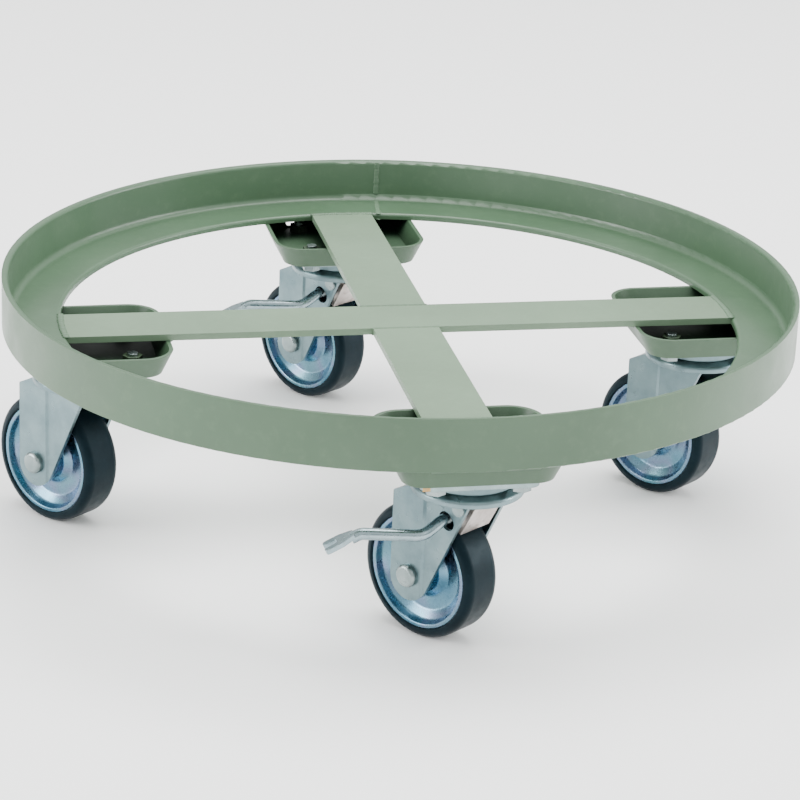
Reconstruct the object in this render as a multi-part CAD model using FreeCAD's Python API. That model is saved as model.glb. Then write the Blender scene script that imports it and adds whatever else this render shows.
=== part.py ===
"""Drum dolly: a rolled angle-iron ring with a flat-bar cross, on four swivel casters.

Row frame, millimetres: +Z up, X along the long crossbar. The origin is the middle of the
crossbars' top face, on which the drum stands. Each piece is written to parts/NODE.step.
"""
import FreeCAD
import Part
import math
import os

from FreeCAD import Placement, Rotation, Vector

# Ring and crossbars
RING_DIAMETER = 600.0
RING_HEIGHT = 39.0          # outside height of the rolled angle
FLANGE_WIDTH = 43.5         # outside width of its flat leg
SECTION_THICKNESS = 5.0
ROOT_RADIUS = 5.0
TOE_RADIUS = 2.5
BAR_WIDTH = 50.0
BAR_THICKNESS = SECTION_THICKNESS

# Caster pads: pressed pans welded under the ring and the bars, open side up
PAD_LENGTH = 112.0          # along the radius, at the rim
PAD_WIDTH = 124.0
PAD_HEIGHT = 17.0
PAD_SHEET = 3.0
PAD_DRAFT = 8.0             # how far each wall leans in from rim to floor
PAD_CORNER = 24.0
PAD_SHIFT = -4.0            # the pan's middle from the swivel axis, outwards
PAD_INSET = 9.5             # from the ring's outside in to the pan's rim
DRAIN_LENGTH = 13.0
DRAIN_HEIGHT = 5.0
DRAIN_OFFSET = 32.0
WELD_LEG = 4.0

# Caster top plate and its fasteners
CASTER_HEADROOM = 38.5      # from the tread up to the top plate's top
PLATE_LENGTH = 84.0
PLATE_WIDTH = 84.0
PLATE_THICKNESS = 4.0
PLATE_CORNER = 8.0
BOLT_SPACING_RADIAL = 62.0
BOLT_SPACING_TANGENT = 60.0
BOLT_DIAMETER = 8.0
BOLT_HOLE_CLEARANCE = 0.5   # on the radius
BOLT_HEAD_ACROSS = 13.0
BOLT_HEAD_HEIGHT = 5.3
NUT_HEIGHT = 6.5
BOLT_END = 2.0              # thread that stands past the nut

# Swivel bearing
BALL_DIAMETER = 6.0
BALL_COUNT = 16
BALL_CIRCLE_RADIUS = 25.0
BALL_CLEARANCE = 0.05
RACE_DEPTH = 1.5            # how far a ball sits in each race
RACE_BOSS_WIDTH = 12.0
RACE_GAP = 3.0              # from the plate's race boss to the crown
RACE_BOSS_DEPTH = 4.5
KING_PIN_DIAMETER = 12.0
KING_HEAD_DIAMETER = 20.0
RETAINER_DIAMETER = 26.0
RETAINER_THICKNESS = 3.0
RETAINER_GAP = 0.3
PEEN_DIAMETER = 17.0
PEEN_HEIGHT = 4.0
RUNNING_CLEARANCE = 0.05    # on the radius, for every shaft that turns

# Fork
CROWN_RADIUS = 40.0
CROWN_THICKNESS = 3.5
CROWN_BEND = 5.0            # how far in from its rim the crown turns down
CROWN_SKIRT = 4.5           # how far its rim hangs below it
SHIELD_RADIUS = 34.0
SHIELD_THICKNESS = 2.0
SHIELD_HEIGHT = 5.0
TYRE_SIDE_CLEARANCE = 4.0   # from the tyre to the legs at the pivot side
LEG_THICKNESS = 3.0
LEG_JOGGLE = 1.5            # the trailing half of each leg stands out this far
LEG_JOGGLE_X = 17.0
LEG_JOGGLE_RUN = 1.5
LEG_FRONT_X = -26.5
LEG_SLANT_X = -23.5         # where the slanting edge would meet the crown
LEG_FLARE_DROP = 1.5        # under the crown, how deep the leg's front corner is
LEG_FLARE_RADIUS = 9.0
LEG_BOSS_RADIUS = 16.5
LEG_BOSS_DROP = 2.5         # the foot's middle, below the axle
TAIL_ROOT_X = 15.0          # where the crown starts to slope down behind
TAIL_CORNER = 2.0
TAIL_DROP = 16.5            # how far down it comes at the legs' trailing edge
TRAIL = 30.0

# Wheel
WHEEL_DIAMETER = 100.0
TYRE_WIDTH = 32.0
TYRE_DEPTH = 7.5            # rubber over the rim's lip
TYRE_SHOULDER = 6.2
SHOULDER_SHARE = 0.96       # of the tyre's side, at most, that its shoulder takes up
RIM_LIP_HEIGHT = 3.0        # over the tyre's seat
RIM_SHEET = 2.0
RIM_LIP_WIDTH = 2.0
RIM_LIP_INSET = 1.0         # from the tyre's side in to the lip's face
RIM_VALLEY_Y = 5.5
RIM_VALLEY_INNER = 21.0
RIM_VALLEY_OUTER = 31.0
HUB_RADIUS = 15.0
HUB_BORE_RADIUS = 13.0
HUB_SIDE_CLEARANCE = 2.0    # from the hub's end to the leg
BEARING_WIDTH = 9.0
SLEEVE_RADIUS = 8.0
AXLE_DIAMETER = 10.0
AXLE_HEAD_DIAMETER = 17.0
AXLE_HEAD_HEIGHT = 4.5
AXLE_NUT_ACROSS = 17.0
AXLE_NUT_HEIGHT = 8.0

# Brake
BRAKE_TRAVEL_DEG = 12.0
BRAKE_PIN_X = -13.0
BRAKE_PIN_DROP = 10.5       # under the crown
BRAKE_PIN_DIAMETER = 6.0
BRAKE_PIN_HEAD = 10.0
BRAKE_BARREL_DIAMETER = 11.0
SHOE_HALF_WIDTH = 15.0
SHOE_GAP = 0.4              # left to the tread with the brake pressed
SHOE_THICKNESS = 3.6
SHOE_START_DEG = 8.0
SHOE_END_DEG = 28.0
SHOE_SHEET = 3.0
ROD_DIAMETER = 8.5
ROD_BEND_RADIUS = 11.0
ROD_X = -0.5
ROD_DROP = 11.0             # under the brake pin
ROD_HOLE_CLEARANCE = 1.3
PEDAL_LENGTH = 19.0
PEDAL_WIDTH = 15.0
PEDAL_THICKNESS = 3.5
PEDAL_SLOT_WIDTH = 5.0
PEDAL_SLOT_DEPTH = 10.0
SPRING_WIRE = 1.2
SPRING_PITCH = 1.4
SPRING_TURNS = 2.5

# Where each caster stands and how far it is swivelled at rest, in degrees about Z. The pads
# were set by eye, a little round from the bars.
CASTERS = {
    "front": {"pad": -89.2, "trail": 127.0, "brake": True, "drain": False},
    "right": {"pad": 0.8, "trail": 127.5, "brake": False, "drain": False},
    "back": {"pad": 90.8, "trail": 125.5, "brake": True, "drain": True},
    "left": {"pad": 180.8, "trail": 129.0, "brake": False, "drain": False},
}

# Levels and radii that follow from the sizes above
RING_RADIUS = RING_DIAMETER / 2
FLANGE_RADIUS = RING_RADIUS - FLANGE_WIDTH
PIVOT_RADIUS = RING_RADIUS - PAD_INSET - PAD_LENGTH / 2 - PAD_SHIFT
UNDERSIDE_Z = -SECTION_THICKNESS
PLATE_TOP_Z = UNDERSIDE_Z - PAD_HEIGHT
PAD_FLOOR_Z = PLATE_TOP_Z + PAD_SHEET
PLATE_BOTTOM_Z = PLATE_TOP_Z - PLATE_THICKNESS
BOSS_BOTTOM_Z = PLATE_BOTTOM_Z - RACE_BOSS_DEPTH
CROWN_TOP_Z = BOSS_BOTTOM_Z - RACE_GAP
CROWN_BOTTOM_Z = CROWN_TOP_Z - CROWN_THICKNESS
BALL_Z = (BOSS_BOTTOM_Z + CROWN_TOP_Z) / 2
WHEEL_RADIUS = WHEEL_DIAMETER / 2
AXLE_Z = PLATE_TOP_Z - CASTER_HEADROOM - WHEEL_RADIUS
RIM_LIP_RADIUS = WHEEL_RADIUS - TYRE_DEPTH
RIM_SEAT_RADIUS = RIM_LIP_RADIUS - RIM_LIP_HEIGHT
RIM_FACE_Y = TYRE_WIDTH / 2 - RIM_LIP_INSET
RIM_LIP_Y = RIM_FACE_Y - RIM_LIP_WIDTH
LEG_INNER_Y = TYRE_WIDTH / 2 + TYRE_SIDE_CLEARANCE
HUB_HALF_WIDTH = LEG_INNER_Y - HUB_SIDE_CLEARANCE
LEG_OUTER_Y = LEG_INNER_Y + LEG_THICKNESS
TRAIL_INNER_Y = LEG_INNER_Y + LEG_JOGGLE
TRAIL_OUTER_Y = TRAIL_INNER_Y + LEG_THICKNESS
LEG_BACK_X = TRAIL + LEG_BOSS_RADIUS
LEG_BOSS_Z = AXLE_Z - LEG_BOSS_DROP
TAIL_END_Z = CROWN_TOP_Z - TAIL_DROP
BRAKE_PIN_Z = CROWN_BOTTOM_Z - BRAKE_PIN_DROP
ROD_Z = BRAKE_PIN_Z - ROD_DROP

X_AXIS = Vector(1, 0, 0)
Y_AXIS = Vector(0, 1, 0)
Z_AXIS = Vector(0, 0, 1)


# ---------------------------------------------------------------- drawing helpers

def corner_arc(before, corner, after, radius):
    """The tangent arc that rounds one corner, as its start, middle and end points."""
    a = (before - corner).normalize()
    b = (after - corner).normalize()
    half = a.getAngle(b) / 2
    run = radius / math.tan(half)
    bisector = (a + b).normalize()
    centre = corner + bisector * (radius / math.sin(half))
    middle = centre - bisector * radius
    return corner + a * run, middle, corner + b * run


def rounded_wire(points, radii, closed=True):
    """A wire through points, with each corner rounded by its radius; 0 leaves it sharp."""
    count = len(points)
    spans = []
    for i, point in enumerate(points):
        end = not closed and i in (0, count - 1)
        if end or radii[i] <= 0:
            spans.append((point, None, point))
        else:
            spans.append(corner_arc(points[i - 1], point, points[(i + 1) % count], radii[i]))
    edges = []
    for i, (start, middle, end) in enumerate(spans):
        if middle is not None:
            edges.append(Part.Arc(start, middle, end).toShape())
        if i + 1 < count or closed:
            following = spans[(i + 1) % count][0]
            if end.distanceToPoint(following) > 1e-6:
                edges.append(Part.LineSegment(end, following).toShape())
    return Part.Wire(edges)


def profile_face(points, radii, plane):
    """A face from 2-D points, drawn in the "xy", "xz" or "yz" plane."""
    lift = {
        "xy": lambda u, v: Vector(u, v, 0),
        "xz": lambda u, v: Vector(u, 0, v),
        "yz": lambda u, v: Vector(0, u, v),
    }[plane]
    return Part.Face(rounded_wire([lift(u, v) for u, v in points], radii))


def rectangle_points(length, width):
    return [(-length / 2, -width / 2), (length / 2, -width / 2),
            (length / 2, width / 2), (-length / 2, width / 2)]


def rounded_plate(length, width, thickness, corner, bottom_z):
    face = profile_face(rectangle_points(length, width), [corner] * 4, "xy")
    plate = face.extrude(Z_AXIS * thickness)
    plate.translate(Z_AXIS * bottom_z)
    return plate


def disc(radius, bottom_z, top_z, x=0.0, y=0.0):
    return Part.makeCylinder(radius, top_z - bottom_z, Vector(x, y, bottom_z), Z_AXIS)


def ring_disc(outer, inner, bottom_z, top_z):
    return disc(outer, bottom_z, top_z).cut(disc(inner, bottom_z, top_z))


def cross_pin(radius, from_y, to_y, x, z):
    return Part.makeCylinder(radius, to_y - from_y, Vector(x, from_y, z), Y_AXIS)


def hexagon(across, bottom, height, axis=Z_AXIS):
    """A hexagonal prism about Z or Y, starting at the point bottom."""
    corner_radius = across / math.sqrt(3)
    turned = Rotation(Z_AXIS, axis)
    points = []
    for i in range(6):
        angle = math.radians(60 * i)
        flat = Vector(corner_radius * math.cos(angle), corner_radius * math.sin(angle), 0)
        points.append(bottom + turned.multVec(flat))
    face = Part.Face(Part.makePolygon(points + points[:1]))
    return face.extrude(axis * height)


def fuse_all(shapes):
    return shapes[0].multiFuse(shapes[1:]).removeSplitter()


# ---------------------------------------------------------------- ring and crossbars

def make_ring():
    wall_inner = RING_RADIUS - SECTION_THICKNESS
    points = [
        (RING_RADIUS, UNDERSIDE_Z),
        (RING_RADIUS, UNDERSIDE_Z + RING_HEIGHT),
        (wall_inner, UNDERSIDE_Z + RING_HEIGHT),
        (wall_inner, 0.0),
        (FLANGE_RADIUS, 0.0),
        (FLANGE_RADIUS, UNDERSIDE_Z),
    ]
    radii = [1.0, 0.0, TOE_RADIUS, ROOT_RADIUS, TOE_RADIUS, 0.0]
    return profile_face(points, radii, "xz").revolve(Vector(0, 0, 0), Z_AXIS, 360)


def bar_between(start_x, end_x):
    """A length of flat bar along X. An end at the ring follows the flange's inner edge."""
    bar = Part.makeBox(end_x - start_x, BAR_WIDTH, BAR_THICKNESS,
                       Vector(start_x, -BAR_WIDTH / 2, -BAR_THICKNESS))
    return bar.common(disc(FLANGE_RADIUS, -BAR_THICKNESS, 0.0))


def make_crossbars():
    long_bar = bar_between(-RING_RADIUS, RING_RADIUS)
    half_bar = bar_between(BAR_WIDTH / 2, RING_RADIUS)
    return {
        "long_crossbar": long_bar,
        "short_crossbar_front": turned_about_z(half_bar, -90),
        "short_crossbar_back": turned_about_z(half_bar, 90),
    }


# ---------------------------------------------------------------- caster pads

def pan_solid(inset, bottom_z):
    """The solid inside one skin of the pan: the outer skin has inset 0."""
    def outline(z):
        lean = PAD_DRAFT * (UNDERSIDE_Z - z) / PAD_HEIGHT
        length = PAD_LENGTH - 2 * (lean + inset)
        width = PAD_WIDTH - 2 * (lean + inset)
        corner = PAD_CORNER - lean - inset
        corners = [Vector(x, y, z) for x, y in rectangle_points(length, width)]
        return rounded_wire(corners, [corner] * 4)
    solid = Part.makeLoft([outline(bottom_z), outline(UNDERSIDE_Z)], True, True)
    solid.translate(X_AXIS * PAD_SHIFT)
    return solid


def make_pad(drained):
    """A pad with its swivel axis on Z and its outer end towards +X."""
    pan = pan_solid(0.0, PLATE_TOP_Z).cut(pan_solid(PAD_SHEET, PAD_FLOOR_Z))
    pan = pan.cut(bolt_holes(PLATE_TOP_Z, PAD_FLOOR_Z))
    if not drained:
        return pan
    drain_z = PAD_FLOOR_Z + DRAIN_HEIGHT / 2 + 1
    slot = profile_face(
        [(-DRAIN_LENGTH / 2 + DRAIN_OFFSET, drain_z - DRAIN_HEIGHT / 2),
         (DRAIN_LENGTH / 2 + DRAIN_OFFSET, drain_z - DRAIN_HEIGHT / 2),
         (DRAIN_LENGTH / 2 + DRAIN_OFFSET, drain_z + DRAIN_HEIGHT / 2),
         (-DRAIN_LENGTH / 2 + DRAIN_OFFSET, drain_z + DRAIN_HEIGHT / 2)],
        [DRAIN_HEIGHT / 2 - 0.1] * 4, "yz").extrude(X_AXIS * PAD_LENGTH)
    return pan.cut(slot)


def fillet_bead(length, start, along, away):
    """A fillet bead under the ring, from start, along the rim of one wall of a pan."""
    lean = PAD_DRAFT * WELD_LEG / PAD_HEIGHT
    corners = [
        start - away * PAD_DRAFT,
        start + away * WELD_LEG,
        start - away * lean - Z_AXIS * WELD_LEG,
        start - away * PAD_DRAFT - Z_AXIS * WELD_LEG,
    ]
    face = Part.Face(Part.makePolygon(corners + corners[:1]))
    return face.extrude(along * length)


def pad_beads():
    """Beads at a pad's outer end, at its inner end under the bar, and at its two sides."""
    outer_x = PAD_SHIFT + PAD_LENGTH / 2
    inner_x = PAD_SHIFT - PAD_LENGTH / 2
    outer_run = PAD_WIDTH - 2 * PAD_CORNER
    bar_run = BAR_WIDTH - 10
    side_start = FLANGE_RADIUS - PIVOT_RADIUS + TOE_RADIUS
    side_run = outer_x - PAD_CORNER - side_start
    beads = [
        fillet_bead(outer_run, Vector(outer_x, -outer_run / 2, UNDERSIDE_Z), Y_AXIS, X_AXIS),
        fillet_bead(bar_run, Vector(inner_x, -bar_run / 2, UNDERSIDE_Z), Y_AXIS, -X_AXIS),
    ]
    for side in (-1, 1):
        start = Vector(side_start, side * PAD_WIDTH / 2, UNDERSIDE_Z)
        beads.append(fillet_bead(side_run, start, X_AXIS, Y_AXIS * side))
    pan = pan_solid(0.0, PLATE_TOP_Z)
    return [bead.cut(pan) for bead in beads]


# ---------------------------------------------------------------- caster plate, pin and bolts

def bolt_points():
    return [(x * BOLT_SPACING_RADIAL / 2, y * BOLT_SPACING_TANGENT / 2)
            for x in (-1, 1) for y in (-1, 1)]


def bolt_holes(bottom_z, top_z):
    radius = BOLT_DIAMETER / 2 + BOLT_HOLE_CLEARANCE
    return fuse_all([disc(radius, bottom_z, top_z, x, y) for x, y in bolt_points()])


def race_torus():
    return Part.makeTorus(BALL_CIRCLE_RADIUS, BALL_DIAMETER / 2 + BALL_CLEARANCE,
                          Vector(0, 0, BALL_Z), Z_AXIS)


def king_head():
    """The rivet's countersunk head, flush with the plate's top."""
    return Part.makeCone(KING_PIN_DIAMETER / 2, KING_HEAD_DIAMETER / 2, PLATE_THICKNESS,
                         Vector(0, 0, PLATE_BOTTOM_Z), Z_AXIS)


def make_top_plate():
    plate = rounded_plate(PLATE_LENGTH, PLATE_WIDTH, PLATE_THICKNESS, PLATE_CORNER, PLATE_BOTTOM_Z)
    boss = ring_disc(BALL_CIRCLE_RADIUS + RACE_BOSS_WIDTH / 2,
                     BALL_CIRCLE_RADIUS - RACE_BOSS_WIDTH / 2, BOSS_BOTTOM_Z, PLATE_BOTTOM_Z)
    plate = plate.fuse(boss).cut(race_torus())
    plate = plate.cut(bolt_holes(PLATE_BOTTOM_Z, PLATE_TOP_Z))
    return plate.cut(king_head()).removeSplitter()


def make_king_pin():
    """The swivel rivet, with its head in the plate and its retainer under the crown."""
    retainer_top = CROWN_BOTTOM_Z - RETAINER_GAP
    retainer_bottom = retainer_top - RETAINER_THICKNESS
    return fuse_all([
        king_head(),
        disc(KING_PIN_DIAMETER / 2, retainer_bottom, PLATE_BOTTOM_Z),
        disc(RETAINER_DIAMETER / 2, retainer_bottom, retainer_top),
        Part.makeCone(PEEN_DIAMETER / 2, PEEN_DIAMETER / 2 - 2, PEEN_HEIGHT,
                      Vector(0, 0, retainer_bottom), -Z_AXIS),
    ])


def make_mount_bolt(x, y):
    nut_top = PAD_FLOOR_Z + NUT_HEIGHT
    head = hexagon(BOLT_HEAD_ACROSS, Vector(x, y, PLATE_BOTTOM_Z - BOLT_HEAD_HEIGHT), BOLT_HEAD_HEIGHT)
    return head.fuse(disc(BOLT_DIAMETER / 2, PLATE_BOTTOM_Z, nut_top + BOLT_END, x, y))


def make_mount_nut(x, y):
    nut = hexagon(BOLT_HEAD_ACROSS, Vector(x, y, PAD_FLOOR_Z), NUT_HEIGHT)
    return nut.cut(disc(BOLT_DIAMETER / 2, PAD_FLOOR_Z, PAD_FLOOR_Z + NUT_HEIGHT, x, y))


# ---------------------------------------------------------------- fork

def make_balls():
    step = 360.0 / BALL_COUNT
    balls = []
    for i in range(BALL_COUNT):
        angle = math.radians(i * step)
        centre = Vector(BALL_CIRCLE_RADIUS * math.cos(angle),
                        BALL_CIRCLE_RADIUS * math.sin(angle), BALL_Z)
        balls.append(Part.makeSphere(BALL_DIAMETER / 2, centre))
    return Part.makeCompound(balls)


def leg_side_outline():
    """The leg seen from the side: straight trailing edge, round foot, slanting front edge."""
    flare_z = CROWN_BOTTOM_Z - LEG_FLARE_DROP
    slant_top = Vector(LEG_SLANT_X, 0, flare_z)
    # The slanting edge is the tangent from its top to the foot's circle.
    boss = Vector(TRAIL, 0, LEG_BOSS_Z)
    reach = boss.distanceToPoint(slant_top)
    towards = math.atan2(slant_top.z - boss.z, slant_top.x - boss.x)
    tangent_angle = towards + math.acos(LEG_BOSS_RADIUS / reach)
    tangent = boss + Vector(math.cos(tangent_angle), 0, math.sin(tangent_angle)) * LEG_BOSS_RADIUS
    side = Vector(LEG_BACK_X, 0, LEG_BOSS_Z)
    corners = [
        side,
        Vector(LEG_BACK_X, 0, TAIL_END_Z),
        Vector(TAIL_ROOT_X, 0, CROWN_TOP_Z),
        Vector(LEG_FRONT_X, 0, CROWN_TOP_Z),
        Vector(LEG_FRONT_X, 0, flare_z),
        slant_top,
        tangent,
    ]
    straight = rounded_wire(corners, [0, TAIL_CORNER, 0, 0, 0, LEG_FLARE_RADIUS, 0], closed=False)
    foot = Part.Arc(tangent, boss - Z_AXIS * LEG_BOSS_RADIUS, side).toShape()
    return Part.Face(Part.Wire(straight.Edges + [foot]))


def leg_plan(side):
    """The leg seen from above, with the joggle that stiffens it."""
    joggle_end = LEG_JOGGLE_X + LEG_JOGGLE_RUN
    points = [
        (LEG_FRONT_X, LEG_INNER_Y), (LEG_JOGGLE_X, LEG_INNER_Y),
        (joggle_end, TRAIL_INNER_Y), (LEG_BACK_X, TRAIL_INNER_Y),
        (LEG_BACK_X, TRAIL_OUTER_Y), (joggle_end, TRAIL_OUTER_Y),
        (LEG_JOGGLE_X, LEG_OUTER_Y), (LEG_FRONT_X, LEG_OUTER_Y),
    ]
    return profile_face([(x, side * y) for x, y in points], [0.0] * len(points), "xy")


def make_leg(side):
    column = leg_plan(side).extrude(Z_AXIS * (LEG_BOSS_Z - LEG_BOSS_RADIUS - CROWN_TOP_Z))
    column.translate(Z_AXIS * CROWN_TOP_Z)
    slab = leg_side_outline().extrude(Y_AXIS * (side * (TRAIL_OUTER_Y + 1)))
    return column.common(slab)


def rod_hole():
    """The opening in a braked fork's near leg, as long as the lever's swing needs."""
    radius = ROD_DIAMETER / 2 + ROD_HOLE_CLEARANCE
    reach = TRAIL_OUTER_Y + 1
    released = Vector(ROD_X, 0, ROD_Z)
    pressed = turned_about_brake_pin(released, BRAKE_TRAVEL_DEG)
    along = pressed - released
    across = Vector(-along.z, 0, along.x).normalize() * radius
    corners = [released + across, pressed + across, pressed - across, released - across]
    middle = Part.Face(Part.makePolygon(corners + corners[:1])).extrude(Y_AXIS * reach)
    ends = [cross_pin(radius, 0, reach, point.x, point.z) for point in (released, pressed)]
    return fuse_all(ends + [middle])


def make_crown():
    """The pressed crown: a flat top whose rim turns down."""
    flat = CROWN_RADIUS - CROWN_BEND
    rim_z = CROWN_BOTTOM_Z - CROWN_SKIRT
    points = [
        (0, CROWN_TOP_Z), (flat, CROWN_TOP_Z), (CROWN_RADIUS, CROWN_BOTTOM_Z), (CROWN_RADIUS, rim_z),
        (CROWN_RADIUS - CROWN_THICKNESS, rim_z), (CROWN_RADIUS - CROWN_THICKNESS, CROWN_BOTTOM_Z - 1.5),
        (flat - CROWN_THICKNESS / 2, CROWN_BOTTOM_Z), (0, CROWN_BOTTOM_Z),
    ]
    radii = [0, 3.5, 3.5, 0.8, 0.8, 1, 1, 0]
    return profile_face(points, radii, "xz").revolve(Vector(0, 0, 0), Z_AXIS, 360)


def make_tail():
    """The fork's sloping roof behind the crown, from leg to leg."""
    points = [
        (TAIL_ROOT_X, CROWN_TOP_Z), (LEG_BACK_X - TAIL_CORNER, TAIL_END_Z + TAIL_CORNER / 2),
        (LEG_BACK_X - TAIL_CORNER, TAIL_END_Z - CROWN_THICKNESS + TAIL_CORNER / 2), (TAIL_ROOT_X, CROWN_BOTTOM_Z),
    ]
    tail = profile_face(points, [0] * 4, "xz").extrude(Y_AXIS * 2 * TRAIL_INNER_Y)
    return tail.translated(Y_AXIS * -TRAIL_INNER_Y)


def make_fork(braked):
    crown = make_crown()
    tail = make_tail()
    shield = ring_disc(SHIELD_RADIUS, SHIELD_RADIUS - SHIELD_THICKNESS, CROWN_TOP_Z,
                       CROWN_TOP_Z + SHIELD_HEIGHT)
    fork = fuse_all([crown, tail, shield, make_leg(1), make_leg(-1)])
    fork = fork.cut(race_torus())
    fork = fork.cut(disc(KING_PIN_DIAMETER / 2 + RUNNING_CLEARANCE, CROWN_BOTTOM_Z, CROWN_TOP_Z))
    fork = fork.cut(cross_pin(AXLE_DIAMETER / 2, -TRAIL_OUTER_Y, TRAIL_OUTER_Y, TRAIL, AXLE_Z))
    if braked:
        fork = fork.cut(rod_hole())
        fork = fork.cut(cross_pin(BRAKE_PIN_DIAMETER / 2, -LEG_OUTER_Y, LEG_OUTER_Y,
                                  BRAKE_PIN_X, BRAKE_PIN_Z))
    return fork


# ---------------------------------------------------------------- wheel and axle

def make_axle_bolt():
    """Domed head on the +Y side, thread end on the other."""
    radius = AXLE_DIAMETER / 2
    shank = cross_pin(radius, -TRAIL_OUTER_Y - AXLE_NUT_HEIGHT - BOLT_END, TRAIL_OUTER_Y, TRAIL, AXLE_Z)
    head = cross_pin(AXLE_HEAD_DIAMETER / 2, TRAIL_OUTER_Y, TRAIL_OUTER_Y + AXLE_HEAD_HEIGHT,
                     TRAIL, AXLE_Z)
    rim = [edge for edge in head.Edges if edge.CenterOfMass.y > TRAIL_OUTER_Y + AXLE_HEAD_HEIGHT - 0.1]
    return head.makeFillet(AXLE_HEAD_HEIGHT * 0.6, rim).fuse(shank)


def make_axle_nut():
    start_y = -TRAIL_OUTER_Y
    nut = hexagon(AXLE_NUT_ACROSS, Vector(TRAIL, start_y, AXLE_Z), AXLE_NUT_HEIGHT, -Y_AXIS)
    return nut.cut(cross_pin(AXLE_DIAMETER / 2, start_y - AXLE_NUT_HEIGHT, start_y, TRAIL, AXLE_Z))


def make_axle_sleeve():
    tube = cross_pin(SLEEVE_RADIUS, -TRAIL_INNER_Y, TRAIL_INNER_Y, TRAIL, AXLE_Z)
    return tube.cut(cross_pin(AXLE_DIAMETER / 2, -TRAIL_INNER_Y, TRAIL_INNER_Y, TRAIL, AXLE_Z))


def turned_on_axle(points, radii):
    """Revolves (radius, y) points about the wheel's axle."""
    face = profile_face(points, radii, "xy")
    solid = face.revolve(Vector(0, 0, 0), Y_AXIS, 360)
    solid.translate(Vector(TRAIL, 0, AXLE_Z))
    return solid


def make_rim():
    """Two pressed steel discs, back to back."""
    seat = RIM_SEAT_RADIUS
    lip = RIM_LIP_RADIUS
    valley_back = RIM_VALLEY_Y - RIM_SHEET
    points = [
        (HUB_BORE_RADIUS, 0), (HUB_BORE_RADIUS, HUB_HALF_WIDTH), (HUB_RADIUS, HUB_HALF_WIDTH),
        (HUB_RADIUS + 1, RIM_VALLEY_Y + 4), (RIM_VALLEY_INNER, RIM_VALLEY_Y),
        (RIM_VALLEY_OUTER, RIM_VALLEY_Y), (seat - RIM_SHEET, RIM_LIP_Y - 3), (seat, RIM_FACE_Y),
        (lip, RIM_FACE_Y), (lip, RIM_LIP_Y), (seat, RIM_LIP_Y - 1),
        (seat, 0), (seat - RIM_SHEET, 0), (seat - RIM_SHEET - 1, RIM_LIP_Y - 5),
        (RIM_VALLEY_OUTER, valley_back), (RIM_VALLEY_INNER, valley_back), (HUB_RADIUS, 0),
    ]
    radii = [0, 0, 0.8, 2, 3, 3, 3, 1, 0.8, 0, 0, 0, 0, 1, 3, 3, 0]
    half = turned_on_axle(points, radii)
    other = half.mirror(Vector(0, 0, 0), Y_AXIS)
    return Part.makeCompound([half, other])


def make_tyre():
    """A solid rubber tyre over the rim's seat, between its two lips."""
    lip = RIM_LIP_RADIUS
    half_width = TYRE_WIDTH / 2
    side_foot = lip + RIM_LIP_INSET
    shoulder = min(TYRE_SHOULDER, (WHEEL_RADIUS - side_foot) * SHOULDER_SHARE)
    half = [(WHEEL_RADIUS, half_width), (side_foot, half_width), (lip, RIM_FACE_Y),
            (lip, RIM_LIP_Y), (RIM_SEAT_RADIUS, RIM_LIP_Y - 1)]
    mirrored = [(r, -y) for r, y in reversed(half)]
    radii = [shoulder, 0, 0, 0, 0]
    return turned_on_axle(half + mirrored, radii + radii[::-1])


def make_bearings():
    """The hub's two ball bearings, each as one closed ring that runs on the sleeve."""
    rings = []
    for side in (-1, 1):
        inner_y = side * (HUB_HALF_WIDTH - BEARING_WIDTH)
        outer_y = side * HUB_HALF_WIDTH
        low, high = sorted((inner_y, outer_y))
        ring = cross_pin(HUB_BORE_RADIUS, low, high, TRAIL, AXLE_Z)
        rings.append(ring.cut(cross_pin(SLEEVE_RADIUS + RUNNING_CLEARANCE, low, high, TRAIL, AXLE_Z)))
    return Part.makeCompound(rings)


# ---------------------------------------------------------------- brake

def brake_pin_line():
    return Vector(BRAKE_PIN_X, 0, BRAKE_PIN_Z)


def turned_about_brake_pin(point, degrees):
    """Where a point goes as the lever is pressed."""
    turn = Rotation(Y_AXIS, degrees)
    return brake_pin_line() + turn.multVec(point - brake_pin_line())


def rod_route():
    """The lever rod, from over the tread, out through the near leg and along to the pedal."""
    return [
        Vector(ROD_X, -SHOE_HALF_WIDTH + 3, ROD_Z),
        Vector(ROD_X, TRAIL_OUTER_Y + 1, ROD_Z),
        Vector(ROD_X + 2.5, TRAIL_OUTER_Y + 18, ROD_Z - 7.5),
        Vector(ROD_X + 40.5, TRAIL_OUTER_Y + 40.5, ROD_Z - 11.5),
        Vector(ROD_X + 44.3, TRAIL_OUTER_Y + 45.4, ROD_Z - 14.7),
    ]


def make_brake_rod_only():
    route = rod_route()
    path = rounded_wire(route, [ROD_BEND_RADIUS] * len(route), closed=False)
    circle = Part.Wire(Part.makeCircle(ROD_DIAMETER / 2, route[0], Y_AXIS))
    return path.makePipeShell([circle], True, False)


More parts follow.
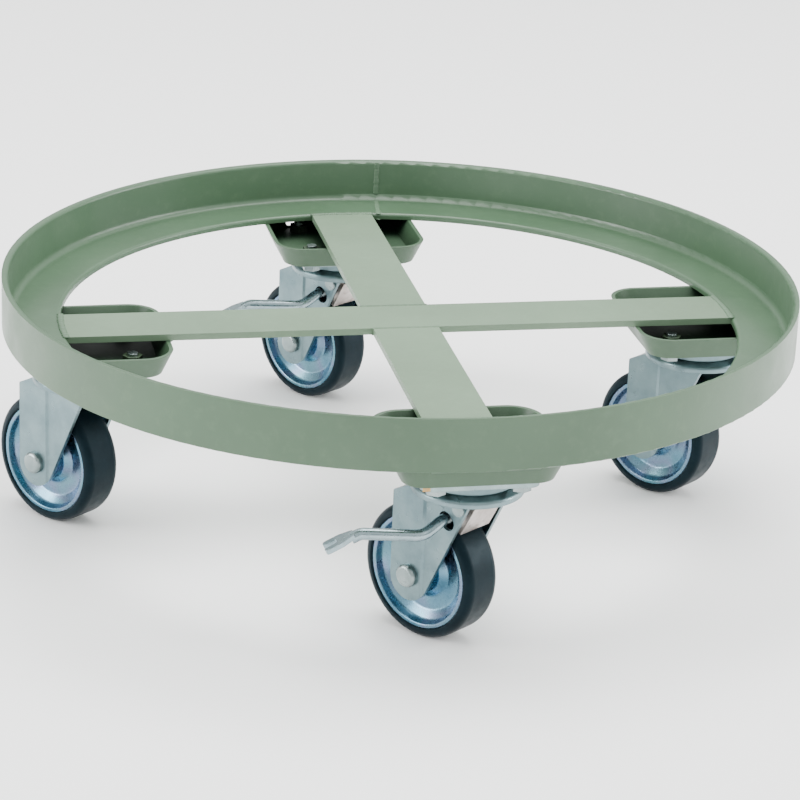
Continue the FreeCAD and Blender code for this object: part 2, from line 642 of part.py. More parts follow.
def make_pedal():
    """The rod's flattened end, slotted like a fishtail."""
    route = rod_route()
    along = (route[-1] - route[-2]).normalize()
    side = along.cross(Z_AXIS).normalize()
    up = side.cross(along)
    half = PEDAL_WIDTH / 2
    neck = ROD_DIAMETER / 2
    slot = PEDAL_SLOT_WIDTH / 2
    slot_end = PEDAL_LENGTH - PEDAL_SLOT_DEPTH
    points = [
        (-3, -neck), (7, -half), (PEDAL_LENGTH, -half), (PEDAL_LENGTH + 1, -slot - 1),
        (slot_end, -slot), (slot_end, slot), (PEDAL_LENGTH + 1, slot + 1), (PEDAL_LENGTH, half),
        (7, half), (-3, neck),
    ]
    radii = [0, 4, 2, 1, 2.4, 2.4, 1, 2, 4, 0]
    plate = profile_face(points, radii, "xy").extrude(Z_AXIS * PEDAL_THICKNESS)
    plate.translate(Z_AXIS * (-PEDAL_THICKNESS / 2))
    matrix = FreeCAD.Matrix(
        along.x, -side.x, up.x, route[-1].x,
        along.y, -side.y, up.y, route[-1].y,
        along.z, -side.z, up.z, route[-1].z,
        0, 0, 0, 1)
    plate.Placement = Placement(matrix)
    return plate


def make_brake_lever():
    return make_brake_rod_only().fuse(make_pedal()).removeSplitter()


def make_brake_shoe():
    """Barrel on the pin, web to the curved shoe, saddle on the rod and a tail plate."""
    barrel = cross_pin(BRAKE_BARREL_DIAMETER / 2, -SHOE_HALF_WIDTH, SHOE_HALF_WIDTH,
                       BRAKE_PIN_X, BRAKE_PIN_Z)
    inner = WHEEL_RADIUS + SHOE_GAP
    arc = ring_disc(inner + SHOE_THICKNESS, inner, -SHOE_HALF_WIDTH + 1, SHOE_HALF_WIDTH - 1)
    arc.rotate(Vector(0, 0, 0), X_AXIS, 90)
    arc.translate(Vector(TRAIL, 0, AXLE_Z))
    far = 2 * WHEEL_RADIUS
    start, end = math.radians(SHOE_START_DEG), math.radians(SHOE_END_DEG)
    wedge_points = [
        (TRAIL, AXLE_Z),
        (TRAIL - far * math.sin(start), AXLE_Z + far * math.cos(start)),
        (TRAIL - far * math.sin(end), AXLE_Z + far * math.cos(end)),
    ]
    wedge = profile_face(wedge_points, [0, 0, 0], "xz").extrude(Y_AXIS * 2 * SHOE_HALF_WIDTH)
    wedge.translate(Y_AXIS * -SHOE_HALF_WIDTH)
    curved = arc.common(wedge)
    curved.rotate(brake_pin_line(), Y_AXIS, -BRAKE_TRAVEL_DEG)
    pin_x, pin_z = BRAKE_PIN_X, BRAKE_PIN_Z
    rod_top = ROD_Z + ROD_DIAMETER / 2
    web_points = [
        (pin_x, pin_z + 2), (pin_x + 35, rod_top + 1.5), (pin_x + 35, rod_top - 1.5),
        (ROD_X + 4.5, rod_top - 4), (ROD_X - 4.5, rod_top - 4), (pin_x + 3, pin_z - 3),
    ]
    web = profile_face(web_points, [0] * 6, "xz").extrude(Y_AXIS * (SHOE_HALF_WIDTH * 1.6))
    web.translate(Y_AXIS * (-SHOE_HALF_WIDTH * 0.8))
    tail_points = [
        (pin_x - 7.5, pin_z), (pin_x - 2, pin_z - 2), (pin_x + 7, pin_z - 21.5), (pin_x + 4.5, pin_z - 23),
    ]
    tail = profile_face(tail_points, [0] * 4, "xz").extrude(Y_AXIS * 2 * SHOE_HALF_WIDTH)
    tail.translate(Y_AXIS * -SHOE_HALF_WIDTH)
    bore = cross_pin(BRAKE_PIN_DIAMETER / 2 + RUNNING_CLEARANCE, -SHOE_HALF_WIDTH, SHOE_HALF_WIDTH,
                     pin_x, pin_z)
    tread = cross_pin(inner, -SHOE_HALF_WIDTH, SHOE_HALF_WIDTH, TRAIL, AXLE_Z)
    tread.rotate(brake_pin_line(), Y_AXIS, -BRAKE_TRAVEL_DEG)
    return fuse_all([barrel, curved, web, tail]).cut(fuse_all([bore, tread])).cut(make_brake_rod_only())


def make_brake_pin():
    head_y = LEG_OUTER_Y + 2.0
    return fuse_all([
        cross_pin(BRAKE_PIN_DIAMETER / 2, -head_y, head_y, BRAKE_PIN_X, BRAKE_PIN_Z),
        cross_pin(BRAKE_PIN_HEAD / 2, LEG_OUTER_Y, head_y, BRAKE_PIN_X, BRAKE_PIN_Z),
        cross_pin(BRAKE_PIN_HEAD / 2, -head_y, -LEG_OUTER_Y, BRAKE_PIN_X, BRAKE_PIN_Z),
    ])


def make_brake_spring():
    """A small torsion spring on the pin, between the shoe and the far leg."""
    radius = BRAKE_PIN_DIAMETER / 2 + SPRING_WIRE
    height = SPRING_PITCH * SPRING_TURNS
    helix = Part.makeHelix(SPRING_PITCH, height, radius)
    circle = Part.Wire(Part.makeCircle(SPRING_WIRE / 2, Vector(radius, 0, 0), Y_AXIS))
    coil = Part.Wire(helix.Edges).makePipeShell([circle], True, True)
    coil.rotate(Vector(0, 0, 0), X_AXIS, 90)
    room_middle = -(SHOE_HALF_WIDTH + LEG_INNER_Y) / 2
    coil.translate(Vector(BRAKE_PIN_X, room_middle + height / 2, BRAKE_PIN_Z))
    return coil


# ---------------------------------------------------------------- placing and writing

def turned_about_z(shape, degrees):
    copy = shape.copy()
    copy.rotate(Vector(0, 0, 0), Z_AXIS, degrees)
    return copy


def at_caster(shape, caster, turn):
    """Turns a caster piece about its swivel axis and moves that axis to its pad."""
    pad_angle = math.radians(caster["pad"])
    copy = turned_about_z(shape, turn)
    copy.translate(Vector(PIVOT_RADIUS * math.cos(pad_angle), PIVOT_RADIUS * math.sin(pad_angle), 0))
    return copy


def swivel_pieces(braked):
    pieces = {
        "fork": make_fork(braked),
        "swivel_balls": make_balls(),
        "axle_bolt": make_axle_bolt(),
        "axle_nut": make_axle_nut(),
        "axle_sleeve": make_axle_sleeve(),
        "wheel_rim": make_rim(),
        "hub_bearings": make_bearings(),
        "tyre": make_tyre(),
    }
    if braked:
        pieces.update({
            "brake_lever": make_brake_lever(),
            "brake_shoe": make_brake_shoe(),
            "brake_pin": make_brake_pin(),
            "brake_spring": make_brake_spring(),
        })
    return pieces


def build():
    nodes = {"ring": make_ring()}
    nodes.update(make_crossbars())
    bolts, nuts, beads = [], [], []
    pads = {drained: make_pad(drained) for drained in (True, False)}
    top_plate, king_pin = make_top_plate(), make_king_pin()
    moving = {braked: swivel_pieces(braked) for braked in (True, False)}
    for name, caster in CASTERS.items():
        fixed = {"caster_pad": pads[caster["drain"]], "top_plate": top_plate, "king_pin": king_pin}
        for piece, shape in fixed.items():
            nodes[f"{piece}_{name}"] = at_caster(shape, caster, caster["pad"])
        for piece, shape in moving[caster["brake"]].items():
            nodes[f"{piece}_{name}"] = at_caster(shape, caster, caster["trail"])
        for x, y in bolt_points():
            bolts.append(at_caster(make_mount_bolt(x, y), caster, caster["pad"]))
            nuts.append(at_caster(make_mount_nut(x, y), caster, caster["pad"]))
        beads += [at_caster(bead, caster, caster["pad"]) for bead in pad_beads()]
    nodes["mount_bolts"] = Part.makeCompound(bolts)
    nodes["mount_nuts"] = Part.makeCompound(nuts)
    nodes["weld_beads"] = Part.makeCompound(beads)
    return nodes


def main():
    os.makedirs("parts", exist_ok=True)
    for name, shape in build().items():
        bad = [s for s in shape.Solids if not s.isValid() or s.Volume <= 0]
        print(f"{name:26s} solids {len(shape.Solids):3d} volume {shape.Volume:12.1f}"
              f"{'  INVALID' if bad or not shape.Solids else ''}")
        shape.exportStep(f"parts/{name}.step")


main()
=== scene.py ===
import math
import random

import bpy
from mathutils import Euler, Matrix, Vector


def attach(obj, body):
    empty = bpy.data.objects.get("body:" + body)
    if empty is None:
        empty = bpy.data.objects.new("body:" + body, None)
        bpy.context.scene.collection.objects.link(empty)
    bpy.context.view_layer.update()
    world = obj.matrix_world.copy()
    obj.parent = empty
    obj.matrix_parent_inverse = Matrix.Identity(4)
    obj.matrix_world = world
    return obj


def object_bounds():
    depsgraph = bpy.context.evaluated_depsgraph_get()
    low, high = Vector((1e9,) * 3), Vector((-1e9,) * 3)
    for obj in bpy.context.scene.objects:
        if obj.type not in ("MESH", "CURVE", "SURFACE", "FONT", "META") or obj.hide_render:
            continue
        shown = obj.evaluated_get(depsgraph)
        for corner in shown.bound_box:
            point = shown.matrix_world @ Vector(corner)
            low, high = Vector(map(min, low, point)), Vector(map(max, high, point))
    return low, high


# Drum dolly: an angle-iron ring and flat-bar cross in grey-green enamel,
# on four zinc-plated swivel casters with solid rubber tyres.
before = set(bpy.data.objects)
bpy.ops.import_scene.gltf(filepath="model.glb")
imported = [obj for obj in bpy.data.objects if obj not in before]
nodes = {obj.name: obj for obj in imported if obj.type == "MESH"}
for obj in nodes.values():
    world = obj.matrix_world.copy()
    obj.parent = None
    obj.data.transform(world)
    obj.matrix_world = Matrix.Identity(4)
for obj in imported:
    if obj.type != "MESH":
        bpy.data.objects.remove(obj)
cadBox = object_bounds()
random.seed(7)
print("frame loaded:", len(nodes), "CAD nodes")


# ---- small helpers ----

def hexColour(text, alpha=1.0):
    # sRGB hex to the linear values that Blender's sockets want
    channels = [int(text[i:i + 2], 16) / 255 for i in (1, 3, 5)]
    linear = [c / 12.92 if c <= 0.04045 else ((c + 0.055) / 1.055) ** 2.4 for c in channels]
    return (*linear, alpha)


def addNode(tree, kind, inputs=None, **settings):
    node = tree.nodes.new(kind)
    for name, value in settings.items():
        setattr(node, name, value)
    for socket, value in (inputs or {}).items():
        if isinstance(value, bpy.types.NodeSocket):
            tree.links.new(value, node.inputs[socket])
        else:
            node.inputs[socket].default_value = value
    return node


def newMaterial(name):
    material = bpy.data.materials.new(name)
    material.use_nodes = True
    tree = material.node_tree
    tree.nodes.clear()
    return material, tree


def colourRamp(tree, factor, stops):
    ramp = addNode(tree, "ShaderNodeValToRGB", {"Fac": factor})
    elements = ramp.color_ramp.elements
    while len(elements) < len(stops):
        elements.new(0.5)
    for element, (position, colour) in zip(elements, stops):
        element.position = position
        element.color = colour
    return ramp.outputs["Color"]


def greyStops(low, lowValue, high, highValue):
    return [(low, (lowValue, lowValue, lowValue, 1)), (high, (highValue, highValue, highValue, 1))]


def objectPoint(tree):
    return addNode(tree, "ShaderNodeTexCoord").outputs["Object"]


def noiseAt(tree, point, grainMm, detail=2.0, roughness=0.5, stretch=None):
    # one noise cell is about grainMm across; stretch draws it out along X, Y or Z
    if stretch:
        mapped = addNode(tree, "ShaderNodeMapping", {"Vector": point, "Scale": stretch})
        point = mapped.outputs["Vector"]
    noise = addNode(tree, "ShaderNodeTexNoise", {
        "Vector": point, "Scale": 1000 / grainMm, "Detail": detail, "Roughness": roughness})
    return noise.outputs["Fac"]


def roundedEdges(tree, radiusMm, normal=None):
    # press-worked and painted edges catch a thin line of light
    inputs = {"Radius": radiusMm / 1000}
    if normal:
        inputs["Normal"] = normal
    return addNode(tree, "ShaderNodeBevel", inputs, samples=4).outputs["Normal"]


def edgeMask(tree, radiusMm):
    # 0 on a flat face, rising to 1 on a corner
    bevelled = addNode(tree, "ShaderNodeBevel", {"Radius": radiusMm / 1000}, samples=4)
    geometry = addNode(tree, "ShaderNodeNewGeometry")
    same = addNode(tree, "ShaderNodeVectorMath", {
        0: bevelled.outputs["Normal"], 1: geometry.outputs["Normal"]}, operation="DOT_PRODUCT")
    return addNode(tree, "ShaderNodeMapRange", {
        "Value": same.outputs["Value"], "From Min": 0.99, "From Max": 0.80,
        "To Min": 0.0, "To Max": 1.0}).outputs["Result"]


def mixColour(tree, factor, first, second, blend="MIX"):
    mix = addNode(tree, "ShaderNodeMix", data_type="RGBA", blend_type=blend)
    for socket, value in ((0, factor), (6, first), (7, second)):
        if isinstance(value, bpy.types.NodeSocket):
            tree.links.new(value, mix.inputs[socket])
        else:
            mix.inputs[socket].default_value = value
    return mix.outputs[2]


def finishShader(tree, inputs):
    shader = addNode(tree, "ShaderNodeBsdfPrincipled", inputs)
    addNode(tree, "ShaderNodeOutputMaterial", {"Surface": shader.outputs["BSDF"]})


# ---- camera, floor and light ----

cameraSettings = {
    "place": (-0.44597, -2.14518, 0.77504),
    "turn": (68.934, -2.184, -10.979),     # degrees about X, Y, Z
    "lens": 137.5,
    "sensor": 36.0,
}


def makeCamera():
    data = bpy.data.cameras.new("studioCamera")
    data.lens = cameraSettings["lens"]
    data.sensor_width = cameraSettings["sensor"]
    data.clip_end = 30
    camera = bpy.data.objects.new("studioCamera", data)
    camera.location = cameraSettings["place"]
    camera.rotation_euler = Euler([math.radians(a) for a in cameraSettings["turn"]])
    bpy.context.collection.objects.link(camera)
    bpy.context.scene.camera = camera


floorSettings = {"size": 40.0, "colour": "#fcfcfc"}


def makeFloor():
    half = floorSettings["size"] / 2
    z = cadBox[0][2]
    mesh = bpy.data.meshes.new("studioFloor")
    corners = [(-half, -half, z), (half, -half, z), (half, half, z), (-half, half, z)]
    mesh.from_pydata(corners, [], [(0, 1, 2, 3)])
    floor = bpy.data.objects.new("studioFloor", mesh)
    bpy.context.collection.objects.link(floor)
    material, tree = newMaterial("matt studio paper")
    finishShader(tree, {"Base Color": hexColour(floorSettings["colour"]), "Roughness": 0.9,
                        "Specular IOR Level": 0.1})
    mesh.materials.append(material)


lightSettings = {
    # how bright the room is below the horizon, level with it, a little up and overhead
    "room": [(0.0, "#6f7472"), (0.50, "#797f7d"), (0.62, "#d4d9d7"), (1.0, "#ffffff")],
    "roomStrength": 1.7,
    # name: place, size, watts, aimed at the middle of the ring
    "overhead": ((0.2, 0.3, 2.6), 2.2, 115),
    "leftBox": ((-2.6, -0.1, 0.8), 1.5, 76),
    "rightBox": ((2.6, -0.3, 0.8), 1.5, 72),
    "frontBox": ((0.5, -3.2, 2.1), 1.0, 6),
}


def makeLights():
    world = bpy.data.worlds.new("softRoom")
    world.use_nodes = True
    tree = world.node_tree
    tree.nodes.clear()
    direction = addNode(tree, "ShaderNodeTexCoord").outputs["Generated"]
    height = addNode(tree, "ShaderNodeSeparateXYZ", {"Vector": direction}).outputs["Z"]
    climb = addNode(tree, "ShaderNodeMapRange", {"Value": height, "From Min": -1.0, "From Max": 1.0})
    room = colourRamp(tree, climb.outputs["Result"], [(at, hexColour(c)) for at, c in lightSettings["room"]])
    background = addNode(tree, "ShaderNodeBackground", {
        "Color": room, "Strength": lightSettings["roomStrength"]})
    addNode(tree, "ShaderNodeOutputWorld", {"Surface": background.outputs["Background"]})
    bpy.context.scene.world = world
    for name in ("overhead", "leftBox", "rightBox", "frontBox"):
        place, size, power = lightSettings[name]
        data = bpy.data.lights.new(name, "AREA")
        data.size = size
        data.energy = power
        light = bpy.data.objects.new(name, data)
        light.location = place
        light.rotation_euler = (-Vector(place)).to_track_quat("-Z", "Y").to_euler()
        bpy.context.collection.objects.link(light)


makeCamera()
makeFloor()
makeLights()
print("camera, floor and lights made")


# ---- finishes ----

def hollowMask(tree, reachMm):
    # 1 in the open, falling towards 0 down inside a hollow
    return addNode(tree, "ShaderNodeAmbientOcclusion", {"Distance": reachMm / 1000}, samples=6).outputs["AO"]


def satinEnamel(name, colour, shade, worn, roughness, grain=1.6, hollowShade=None):
    # air-dried alkyd enamel, sprayed: even colour with a faint cloud, a fine orange peel
    # that breaks up the highlight, and thin paint along the edges
    material, tree = newMaterial(name)
    point = objectPoint(tree)
    cloud = noiseAt(tree, point, 90, detail=4)
    base = colourRamp(tree, cloud, [(0.30, hexColour(shade)), (0.72, hexColour(colour))])
    dust = colourRamp(tree, noiseAt(tree, point, 9, detail=5, roughness=0.65),
                      greyStops(0.52, 0.0, 0.80, 0.16))
    base = mixColour(tree, dust, base, hexColour(worn))
    edge = addNode(tree, "ShaderNodeMath", {0: edgeMask(tree, 0.7), 1: 0.55}, operation="MULTIPLY")
    base = mixColour(tree, edge.outputs[0], base, hexColour(worn))
    shine = 0.5
    if hollowShade:
        # painted shade: down in hollows, where shade falls, the colour darkens towards the given shade
        # colour and the shine drops
        reach = hollowMask(tree, 34)
        paintedShade = colourRamp(tree, reach, greyStops(0.35, 1.0, 0.90, 0.0))
        base = mixColour(tree, paintedShade, base, hexColour(hollowShade))
        shine = colourRamp(tree, reach, greyStops(0.35, 0.06, 0.90, 0.5))
    peel = addNode(tree, "ShaderNodeBump", {
        "Height": noiseAt(tree, point, grain, detail=1), "Strength": 0.10, "Distance": 0.0003,
        "Normal": roundedEdges(tree, 0.6)})
    gloss = colourRamp(tree, noiseAt(tree, point, 35, detail=3),
                       greyStops(0.3, roughness - 0.05, 0.7, roughness + 0.08))
    finishShader(tree, {"Base Color": base, "Roughness": gloss, "IOR": 1.5, "Specular IOR Level": shine,
                        "Normal": peel.outputs["Normal"]})
    return material


def zincPlated(name, colour, tint, roughness, rolling=(1, 1, 1)):
    # electroplated zinc on pressed steel sheet: a soft grey metal sheen, faintly blue and
    # green where the passivate is thicker, with handling marks
    material, tree = newMaterial(name)
    point = objectPoint(tree)
    cloud = noiseAt(tree, point, 22, detail=4, roughness=0.6)
    base = colourRamp(tree, cloud, [(0.32, hexColour(tint)), (0.68, hexColour(colour))])
    marks = colourRamp(tree, noiseAt(tree, point, 2.5, detail=6, roughness=0.75),
                       greyStops(0.50, 0.0, 0.78, 0.22))
    base = mixColour(tree, marks, base, hexColour("#7c868a"))
    gloss = colourRamp(tree, noiseAt(tree, point, 7, detail=4, roughness=0.6),
                       greyStops(0.3, roughness - 0.06, 0.7, roughness + 0.12))
    sheet = addNode(tree, "ShaderNodeBump", {
        "Height": noiseAt(tree, point, 1.1, detail=3, stretch=rolling), "Strength": 0.06,
        "Distance": 0.0002, "Normal": roundedEdges(tree, 0.7)})
    finishShader(tree, {"Base Color": base, "Metallic": 1.0, "Roughness": gloss,
                        "Normal": sheet.outputs["Normal"]})
    return material


def blueChromate(name):
    # clear-blue chromated zinc: the thin film goes from steel blue to lilac and teal
    material, tree = newMaterial(name)
    point = objectPoint(tree)
    film = noiseAt(tree, point, 34, detail=1, roughness=0.4)
    base = colourRamp(tree, film, [
        (0.26, hexColour("#466e84")), (0.44, hexColour("#63899c")), (0.53, hexColour("#72829b")),
        (0.62, hexColour("#668b99")), (0.78, hexColour("#4b7987"))])
    gloss = colourRamp(tree, noiseAt(tree, point, 5, detail=4), greyStops(0.3, 0.24, 0.7, 0.31))
    skin = addNode(tree, "ShaderNodeBump", {
        "Height": noiseAt(tree, point, 3, detail=2), "Strength": 0.03, "Distance": 0.0002,
        "Normal": roundedEdges(tree, 0.6)})
    finishShader(tree, {"Base Color": base, "Metallic": 1.0, "Roughness": gloss,
                        "Normal": skin.outputs["Normal"]})
    return material


def solidRubber(name):
    # moulded black rubber: slate grey with a soft sheen, dusty where it rolls
    material, tree = newMaterial(name)
    point = objectPoint(tree)
    base = colourRamp(tree, noiseAt(tree, point, 30, detail=4), [
        (0.3, hexColour("#081217")), (0.7, hexColour("#0d1b21"))])
    dust = colourRamp(tree, noiseAt(tree, point, 3, detail=6, roughness=0.7),
                      greyStops(0.50, 0.0, 0.80, 0.25))
    base = mixColour(tree, dust, base, hexColour("#1b2b32"))
    gloss = colourRamp(tree, noiseAt(tree, point, 8, detail=3), greyStops(0.3, 0.34, 0.7, 0.48))
    skin = addNode(tree, "ShaderNodeBump", {
        "Height": noiseAt(tree, point, 0.9, detail=2), "Strength": 0.12, "Distance": 0.0002})
    finishShader(tree, {"Base Color": base, "Roughness": gloss, "IOR": 1.5, "Specular IOR Level": 0.17,
                        "Specular Tint": hexColour("#9fc3d2"), "Normal": skin.outputs["Normal"]})
    return material


def polishedSteel(name):
    # ground and lightly oiled bearing steel: bright, with brown film in patches
    material, tree = newMaterial(name)
    point = objectPoint(tree)
    base = colourRamp(tree, noiseAt(tree, point, 6, detail=3), [
        (0.35, hexColour("#8d8a84")), (0.6, hexColour("#c6c8c9"))])
    finishShader(tree, {"Base Color": base, "Metallic": 1.0, "Roughness": 0.18})
    return material


def brushedPaint(name):
    # a thin brushed dab: strong orange where it pooled, the zinc dulling it where it is thin
    material, tree = newMaterial(name)
    point = objectPoint(tree)
    base = colourRamp(tree, noiseAt(tree, point, 5, detail=3), [
        (0.35, hexColour("#b79a6a")), (0.62, hexColour("#d99a3c"))])
    finishShader(tree, {"Base Color": base, "Roughness": 0.5})
    return material


def stainedZinc(name):
    # the brake plate: warm, slightly pink zinc with brown grease near its barrel
    material, tree = newMaterial(name)
    point = objectPoint(tree)
    base = colourRamp(tree, noiseAt(tree, point, 14, detail=4), [
        (0.30, hexColour("#9c8f88")), (0.66, hexColour("#cfc6c1"))])
    grease = colourRamp(tree, noiseAt(tree, point, 8, detail=5, roughness=0.65),
                        greyStops(0.54, 0.0, 0.72, 0.7))
    base = mixColour(tree, grease, base, hexColour("#5a4738"))
    finishShader(tree, {"Base Color": base, "Metallic": 0.9, "Roughness": 0.38,
                        "Normal": roundedEdges(tree, 0.6)})
    return material


ringEnamel = satinEnamel("grey-green satin enamel", "#466048", "#3f5841", "#698064", 0.34)
# painted light: the bars get a lighter copy of the ring's enamel, for the brighter light on their tops
# beside the ring's shaded flange
litBarEnamel = satinEnamel("grey-green satin enamel, flat bar", "#6a8069", "#617760", "#869883", 0.42)
# painted shade: the pressings darken down inside their hollows
padEnamel = satinEnamel("grey-green satin enamel, pressings", "#415b43", "#39513b", "#637b60", 0.38,
                        hollowShade="#16241a")
weldEnamel = satinEnamel("painted weld metal", "#567058", "#435a45", "#7e937b", 0.40, grain=2.5)
# overpainted with the pads' enamel; their darker green and the darkening in their hollows are painted shade,
# for the shade inside the pans
shadedNutPaint = satinEnamel("overpainted nuts", "#35472f", "#2b3b29", "#52664c", 0.45, hollowShade="#121a12")
forkZinc = zincPlated("zinc-plated pressed steel", "#7a8d90", "#64787d", 0.31)
plateZinc = zincPlated("zinc-plated plate", "#98a9a8", "#7f9192", 0.30)
fastenerZinc = zincPlated("zinc-plated fastener", "#98a3a3", "#7b8888", 0.28)
leverZinc = zincPlated("zinc-plated rod", "#9fafb4", "#7f9298", 0.22)
discZinc = blueChromate("blue chromated zinc")
tyreRubber = solidRubber("moulded solid rubber")
bearingSteel = polishedSteel("oiled bearing steel")
brakeZinc = stainedZinc("stained zinc brake plate")
inspectionPaint = brushedPaint("orange inspection paint")

finishOf = {
    "ring": ringEnamel, "long_crossbar": litBarEnamel, "short_crossbar": litBarEnamel, "caster_pad": padEnamel,
    "weld_beads": weldEnamel, "mount_bolts": fastenerZinc, "mount_nuts": shadedNutPaint,
    "top_plate": plateZinc, "king_pin": fastenerZinc, "fork": forkZinc, "swivel_balls": bearingSteel,
    "axle_bolt": fastenerZinc, "axle_nut": fastenerZinc, "axle_sleeve": bearingSteel,
    "wheel_rim": discZinc, "hub_bearings": bearingSteel, "tyre": tyreRubber,
    "brake_lever": leverZinc, "brake_shoe": brakeZinc, "brake_pin": fastenerZinc,
    "brake_spring": bearingSteel,
}


def dressNodes():
    for name, node in nodes.items():
        for start, material in finishOf.items():
            if name == start or name.startswith(start + "_"):
                for slot in node.material_slots:
                    slot.material = material


dressNodes()
print("finishes given to the CAD nodes")


# ---- weld ripples ----

rippleSettings = {
    "spacing": 0.0013,        # from one ripple to the next
    "width": 0.0026,          # half the bead's width
    "length": 0.0013,         # half a ripple along the bead
    "height": 0.0010,         # how proud the bead stands
    "seed": 11,
}


def rippleTree(material):
    # lays overlapping flattened drops along a path, as a welder's torch leaves them
    tree = bpy.data.node_groups.new("weldRipples", "GeometryNodeTree")
    face = tree.interface
    face.new_socket("Geometry", in_out="INPUT", socket_type="NodeSocketGeometry")
    for name in ("Spacing", "Width", "Length", "Height"):
        face.new_socket(name, in_out="INPUT", socket_type="NodeSocketFloat")
    face.new_socket("Seed", in_out="INPUT", socket_type="NodeSocketInt")
    face.new_socket("Geometry", in_out="OUTPUT", socket_type="NodeSocketGeometry")
    given = addNode(tree, "NodeGroupInput").outputs
    curve = addNode(tree, "GeometryNodeMeshToCurve", {"Mesh": given["Geometry"]})
    even = addNode(tree, "GeometryNodeResampleCurve", {
        "Curve": curve.outputs["Curve"], "Length": given["Spacing"]}, mode="LENGTH")
    tangent = addNode(tree, "GeometryNodeInputTangent")
    up = addNode(tree, "GeometryNodeInputNamedAttribute", {"Name": "faceUp"}, data_type="FLOAT_VECTOR")
    along = addNode(tree, "FunctionNodeAlignRotationToVector", {
        "Vector": tangent.outputs["Tangent"]}, axis="X")
    turned = addNode(tree, "FunctionNodeAlignRotationToVector", {
        "Rotation": along.outputs["Rotation"], "Vector": up.outputs["Attribute"]}, axis="Z", pivot_axis="X")
    drop = addNode(tree, "GeometryNodeMeshIcoSphere", {"Radius": 1.0, "Subdivisions": 2})
    size = addNode(tree, "ShaderNodeCombineXYZ", {
        "X": given["Length"], "Y": given["Width"], "Z": given["Height"]})
    uneven = addNode(tree, "FunctionNodeRandomValue", {
        2: 0.82, 3: 1.15, "Seed": given["Seed"]}, data_type="FLOAT")
    scale = addNode(tree, "ShaderNodeVectorMath", {0: size.outputs["Vector"], "Scale": uneven.outputs[1]},
                    operation="SCALE")
    placed = addNode(tree, "GeometryNodeInstanceOnPoints", {
        "Points": even.outputs["Curve"], "Instance": drop.outputs["Mesh"],
        "Rotation": turned.outputs["Rotation"], "Scale": scale.outputs["Vector"]})
    real = addNode(tree, "GeometryNodeRealizeInstances", {"Geometry": placed.outputs["Instances"]})
    soft = addNode(tree, "GeometryNodeSetShadeSmooth", {"Geometry": real.outputs["Geometry"]})
    painted = addNode(tree, "GeometryNodeSetMaterial", {
        "Geometry": soft.outputs["Geometry"], "Material": material})
    addNode(tree, "NodeGroupOutput", {"Geometry": painted.outputs["Geometry"]})
    return tree


def pathMesh(name, paths):
    # each path is a list of (point, outward direction); edges only
    verts, edges, ups = [], [], []
    for path in paths:
        first = len(verts)
        for point, up in path:
            verts.append(point)
            ups.append(up)
        edges += [(i, i + 1) for i in range(first, len(verts) - 1)]
    mesh = bpy.data.meshes.new(name)
    mesh.from_pydata(verts, edges, [])
    attribute = mesh.attributes.new("faceUp", "FLOAT_VECTOR", "POINT")
    for i, up in enumerate(ups):
        attribute.data[i].vector = up
    return mesh


def weldPiece(name, paths, body, material, settings):
    seedObject = bpy.data.objects.new(name + "Path", pathMesh(name + "Path", paths))
    bpy.context.collection.objects.link(seedObject)
    modifier = seedObject.modifiers.new("ripples", "NODES")
    tree = rippleTree(material)
    modifier.node_group = tree
    values = {"Spacing": settings["spacing"], "Width": settings["width"], "Length": settings["length"],
              "Height": settings["height"], "Seed": settings["seed"]}
    for item in tree.interface.items_tree:
        if item.item_type == "SOCKET" and item.in_out == "INPUT" and item.name in values:
            modifier[item.identifier] = values[item.name]
    graph = bpy.context.evaluated_depsgraph_get()
    mesh = bpy.data.meshes.new_from_object(seedObject.evaluated_get(graph))
    mesh.name = name
    bpy.data.objects.remove(seedObject)
    piece = bpy.data.objects.new(name, mesh)
    bpy.context.collection.objects.link(piece)
    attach(piece, body)
    return piece


weldSettings = {
    "flangeRadius": 0.2565,      # the bars' ends and the flange's inner edge
    "barHalfWidth": 0.025,
    "thickness": 0.005,          # of the bars and of the ring's section
    "wallRadius": 0.295,
    "wallTop": 0.034,
    "outerRadius": 0.300,
    "seamAngle": 83.0,           # where the rolled ring closes
    "rootGap": 0.006,            # left free at the section's inner corner
    "edgeGap": 0.002,            # left free at its edges
    "barEndPoints": 24,
    "crossingSteps": 24,
    "ringSteps": 14,
    "flushBead": {"height": 0.0003, "width": 0.0016, "spacing": 0.0011, "seed": 5},
    "ringBead": {"height": 0.0007, "width": 0.0022, "seed": 3},
}
upward = Vector((0, 0, 1))


def arcPoints(radius, low, high, count, turn, z):
    # points on a circle about the ring's axis, turn degrees round from +X
    angles = [math.radians(turn + low + (high - low) * i / (count - 1)) for i in range(count)]
    return [Vector((radius * math.cos(a), radius * math.sin(a), z)) for a in angles]


def straightPath(first, last, steps, outward):
    # evenly spaced points from first to last, all facing outward
    return [(first.lerp(last, i / steps), outward) for i in range(steps + 1)]


def layBarEndWelds():
    # four beads on top, where the bars' rounded ends meet the flange
    s = weldSettings
    halfAngle = math.degrees(math.asin(s["barHalfWidth"] / s["flangeRadius"]))
    paths = []
    for turn in (0, 90, 180, 270):
        points = arcPoints(s["flangeRadius"], -halfAngle, halfAngle, s["barEndPoints"], turn, 0.0)
        paths.append([(point, upward) for point in points])
    weldPiece("bar_end_welds", paths, "frame", weldEnamel, rippleSettings)


def layCrossingSeams():
    # the short bars butt against the long one; these are ground nearly flush, top and bottom
    s = weldSettings
    half = s["barHalfWidth"]
    paths = []
    for side in (-1, 1):
        for z, way in ((0.0, upward), (-s["thickness"], -upward)):
            first = Vector((-half, side * half, z))
            last = Vector((half, side * half, z))
            paths.append(straightPath(first, last, s["crossingSteps"], way))
    weldPiece("crossing_seams", paths, "frame", weldEnamel,
              {**rippleSettings, **s["flushBead"]})


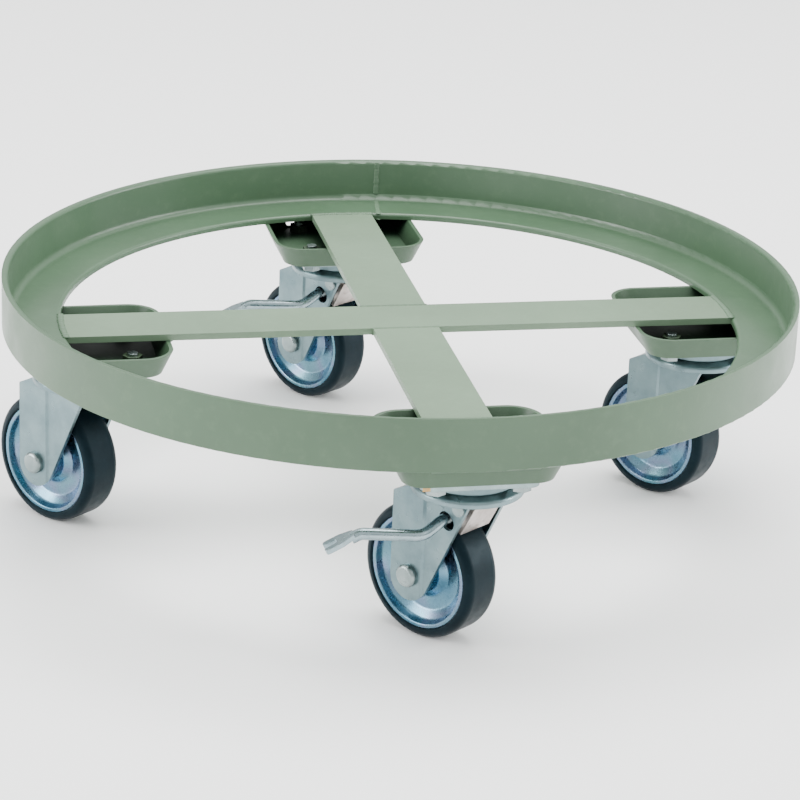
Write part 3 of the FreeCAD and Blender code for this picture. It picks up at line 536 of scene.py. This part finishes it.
def layRingSeam():
    # up the wall's inside, across the flange's top and along its underside
    s = weldSettings
    a = math.radians(s["seamAngle"])
    outward = Vector((math.cos(a), math.sin(a), 0))
    wall = outward * s["wallRadius"]
    flangeEdge = outward * s["flangeRadius"]
    flangeRoot = outward * (s["wallRadius"] - s["rootGap"])
    under = -upward * s["thickness"]
    rim = outward * (s["outerRadius"] - s["edgeGap"])
    stretches = [
        (wall + upward * s["rootGap"], wall + upward * (s["wallTop"] - s["edgeGap"]), -outward),
        (flangeEdge, flangeRoot, upward),
        (flangeEdge + under, rim + under, -upward),
    ]
    paths = [straightPath(first, last, s["ringSteps"], way) for first, last, way in stretches]
    weldPiece("ring_closing_weld", paths, "frame", weldEnamel,
              {**rippleSettings, **s["ringBead"]})


layBarEndWelds()
layCrossingSeams()
layRingSeam()
print("welds laid")


# ---- inspection dab ----

dabSettings = {
    "x": (-0.0375, -0.0235),
    "z": (-0.0256, -0.0226),
    "plateEdge": -0.2805,        # the top plate's outer edge
    "proud": 0.0002,
    "steps": 14,
    "waver": 0.0003,
}


def makeDab():
    # a brush stroke of orange inspection paint on the front caster's plate
    s = dabSettings
    (left, right), (low, high) = s["x"], s["z"]
    y = s["plateEdge"] - s["proud"]
    xs = [left + (right - left) * i / s["steps"] for i in range(s["steps"] + 1)]
    lower = [(x, y, low + random.uniform(0, s["waver"])) for x in xs]
    upper = [(x, y, high - random.uniform(0, s["waver"])) for x in reversed(xs)]
    front = lower + upper
    count = len(front)
    back = [(x, s["plateEdge"] + s["proud"], z) for x, _, z in front]
    walls = [(i, i + count, (i + 1) % count + count, (i + 1) % count) for i in range(count)]
    faces = [tuple(range(count)), tuple(range(2 * count - 1, count - 1, -1))] + walls
    mesh = bpy.data.meshes.new("inspection_dab")
    mesh.from_pydata(front + back, [], faces)
    mesh.materials.append(inspectionPaint)
    piece = bpy.data.objects.new("inspection_dab", mesh)
    bpy.context.collection.objects.link(piece)
    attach(piece, "frame")
    print("inspection dab painted")


makeDab()
